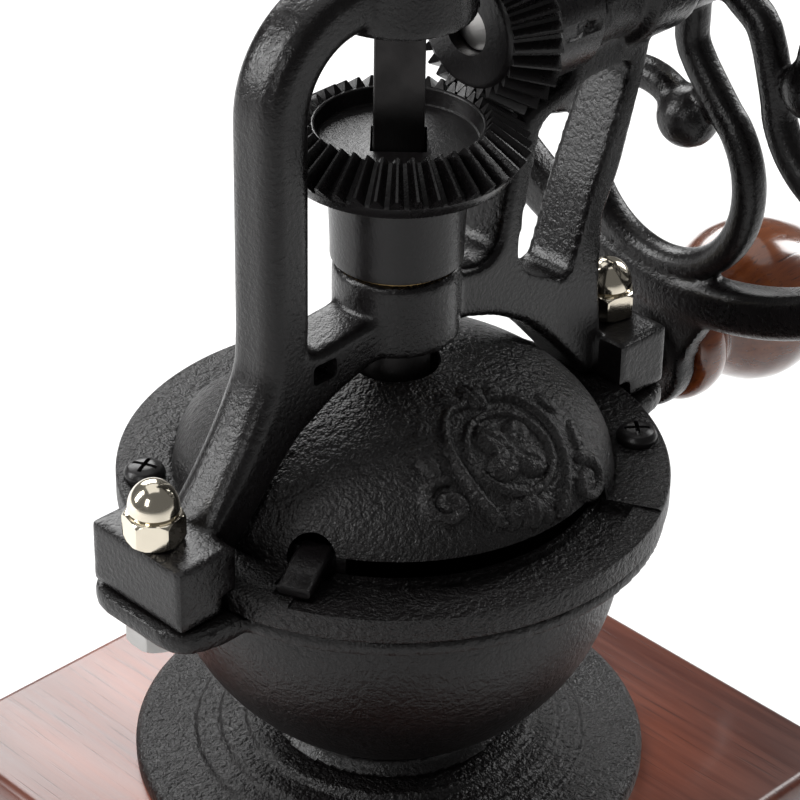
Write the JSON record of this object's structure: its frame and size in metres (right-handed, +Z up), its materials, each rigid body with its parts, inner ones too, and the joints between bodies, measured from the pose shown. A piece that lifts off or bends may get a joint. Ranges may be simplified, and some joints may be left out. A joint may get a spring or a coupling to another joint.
{
  "type": "hand crank coffee grinder",
  "caption": "Upright hand coffee mill: wooden drawer box, cast bowl with domed lid, yoke with bevel gears, side flywheel with scroll spokes and a turned crank knob.",
  "frame": {"origin": "centre of the base's underside, under the spindle's axis", "axes": "+Z up along the spindle, +X along the drive shaft towards the flywheel, -Y is the front where the drawer opens"},
  "size_m": [0.1994, 0.1686, 0.325],
  "materials": {
    "lacquered_wood": "red-brown gloss lacquer over wood grain",
    "dark_wood": "darker red-brown gloss lacquer",
    "pale_wood": "bare beech, sanded",
    "felt": "dark green felt",
    "black_cast": "satin black enamel over sand-cast iron",
    "satin_black": "smooth satin black",
    "nickel": "warm polished nickel",
    "steel": "machined steel",
    "bronze": "plain bronze and aged brass",
    "honey_knob": "turned wood, honey red-brown gloss lacquer"
  },
  "bodies": {
    "root": {"box_top_board": "lacquered_wood", "box_plinth": "lacquered_wood", "box_front_wall": "lacquered_wood", "box_back_wall": "lacquered_wood", "box_left_wall": "lacquered_wood", "box_right_wall": "lacquered_wood", "drawer_runner_left": "pale_wood", "drawer_runner_right": "pale_wood", "base_pad": "felt", "base_plate": "black_cast", "base_screw_1": "steel", "base_screw_2": "steel", "base_screw_3": "steel", "bowl": "black_cast", "outer_burr": "steel", "lid": "black_cast", "lid_screw_1": "satin_black", "lid_screw_2": "satin_black", "frame": "black_cast", "lower_bush": "bronze", "upper_bush": "bronze", "drive_bush": "bronze", "thrust_washer": "bronze", "cap_nut_left": "nickel", "cap_nut_right": "nickel", "clamp_bolt_left": "steel", "clamp_bolt_right": "steel"},
    "crank": {"drive_shaft": "steel", "upper_gear": "satin_black", "gear_pin": "steel", "flywheel": "black_cast", "wheel_washer": "steel", "wheel_nut": "nickel", "handle_bolt": "steel", "handle_nut": "steel"},
    "knob": {"crank_knob": "honey_knob"},
    "lower_gear": {"lower_gear": "satin_black"},
    "spindle": {"spindle": "satin_black", "inner_burr": "steel", "burr_nut": "steel"},
    "adjuster": {"adjusting_nut": "satin_black", "lock_nut": "nickel"},
    "lid_door": {"lid_door": "black_cast"},
    "drawer": {"drawer_front": "dark_wood", "drawer_left_side": "pale_wood", "drawer_right_side": "pale_wood", "drawer_back": "pale_wood", "drawer_floor": "pale_wood", "drawer_knob": "bronze", "drawer_knob_screw": "steel"}
  },
  "joints": [
    {"name": "crank_turn", "type": "hinge", "parent": "root", "child": "crank", "pos_m": [0.06, 0, 0.2425], "axis": [1, 0, 0], "continuous": true},
    {"name": "knob_turn", "type": "hinge", "parent": "crank", "child": "knob", "pos_m": [0.1, 0.00445, 0.1481], "axis": [1, 0, 0], "continuous": true},
    {"name": "gear_turn", "type": "hinge", "parent": "root", "child": "lower_gear", "pos_m": [0, 0, 0.21], "axis": [0, 0, 1], "continuous": true},
    {"name": "grind_adjust", "type": "slide", "parent": "lower_gear", "child": "spindle", "axis": [0, 0, -1], "range_m": [0, 0.0019]},
    {"name": "adjust_turn", "type": "hinge", "parent": "lower_gear", "child": "adjuster", "pos_m": [0, 0, 0.277], "axis": [0, 0, 1], "range_deg": [0, 540]},
    {"name": "door_turn", "type": "hinge", "parent": "root", "child": "lid_door", "pos_m": [0, 0, 0.155], "axis": [0, 0, 1], "range_deg": [0, 80]},
    {"name": "drawer_slide", "type": "slide", "parent": "root", "child": "drawer", "axis": [0, -1, 0], "range_m": [0, 0.07]}
  ],
  "couplings": [
    {"joint": "gear_turn", "follows": "crank_turn", "ratio": 0.75},
    {"joint": "grind_adjust", "follows": "adjust_turn", "m_per_rad": 0.00019894}
  ]
}
